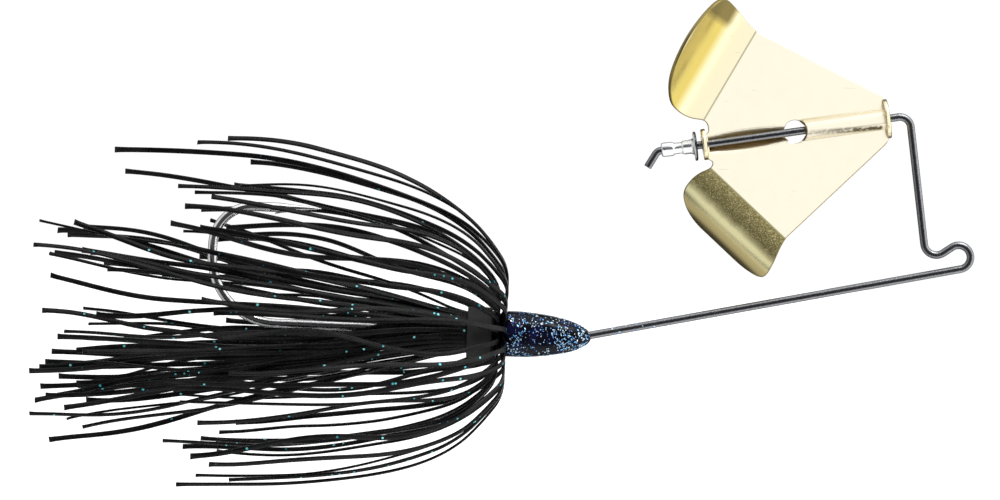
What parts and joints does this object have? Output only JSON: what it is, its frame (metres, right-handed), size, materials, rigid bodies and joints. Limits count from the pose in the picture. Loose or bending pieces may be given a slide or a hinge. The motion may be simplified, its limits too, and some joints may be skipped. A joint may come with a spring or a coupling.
{
  "type": "buzzbait fishing lure",
  "caption": "Lead-headed hook and bent wire arm carrying a spinning two-wing metal blade, dressed with a rubber-collared strand skirt.",
  "frame": {"origin": "centre of the open line-tie bend at the front of the wire arm", "axes": "+X along the hook shank towards the nose and the line, +Z towards the blade and the hook point"},
  "size_m": [0.136, 0.0449, 0.0742],
  "materials": {
    "head_paint": "glossy dark blue with glitter",
    "hook_steel": "bright nickel",
    "arm_wire": "drawn spring wire",
    "blade_metal": "polished gold colour",
    "rivet_metal": "bright",
    "collar_rubber": "matte",
    "sleeve_plastic": "satin",
    "spur_wire": "plain",
    "skirt_silicone": "satin with blue flecks"
  },
  "bodies": {
    "frame": {"wire_arm": "arm_wire", "head": "head_paint", "hook": "hook_steel", "skirt_collar": "collar_rubber", "keeper_sleeve": "sleeve_plastic", "keeper_spur": "spur_wire", "strand_1": "skirt_silicone", "strand_2": "skirt_silicone", "strand_3": "skirt_silicone", "strand_4": "skirt_silicone", "strand_5": "skirt_silicone", "strand_6": "skirt_silicone", "strand_7": "skirt_silicone", "strand_8": "skirt_silicone", "strand_9": "skirt_silicone", "strand_10": "skirt_silicone", "strand_11": "skirt_silicone", "strand_12": "skirt_silicone", "strand_13": "skirt_silicone", "strand_14": "skirt_silicone", "strand_15": "skirt_silicone", "strand_16": "skirt_silicone", "strand_17": "skirt_silicone", "strand_18": "skirt_silicone", "strand_19": "skirt_silicone", "strand_20": "skirt_silicone", "strand_21": "skirt_silicone", "strand_22": "skirt_silicone", "strand_23": "skirt_silicone", "strand_24": "skirt_silicone", "strand_25": "skirt_silicone", "strand_26": "skirt_silicone", "strand_27": "skirt_silicone", "strand_28": "skirt_silicone", "strand_29": "skirt_silicone", "strand_30": "skirt_silicone", "strand_31": "skirt_silicone", "strand_32": "skirt_silicone", "strand_33": "skirt_silicone", "strand_34": "skirt_silicone", "strand_35": "skirt_silicone", "strand_36": "skirt_silicone", "strand_37": "skirt_silicone", "strand_38": "skirt_silicone", "strand_39": "skirt_silicone", "strand_40": "skirt_silicone", "strand_41": "skirt_silicone", "strand_42": "skirt_silicone", "strand_43": "skirt_silicone", "strand_44": "skirt_silicone", "strand_45": "skirt_silicone", "strand_46": "skirt_silicone", "strand_47": "skirt_silicone", "strand_48": "skirt_silicone"},
    "rivet": {"rivet": "rivet_metal"},
    "blade": {"blade": "blade_metal"}
  },
  "joints": [
    {"name": "rivet_float", "type": "slide", "parent": "frame", "child": "rivet", "axis": [0.9829, 0, 0.184], "range_m": [0, 0.0012]},
    {"name": "blade_spin", "type": "hinge", "parent": "rivet", "child": "blade", "pos_m": [-0.03788, 0, 0.01462], "axis": [0.9829, 0, 0.184], "continuous": true}
  ]
}
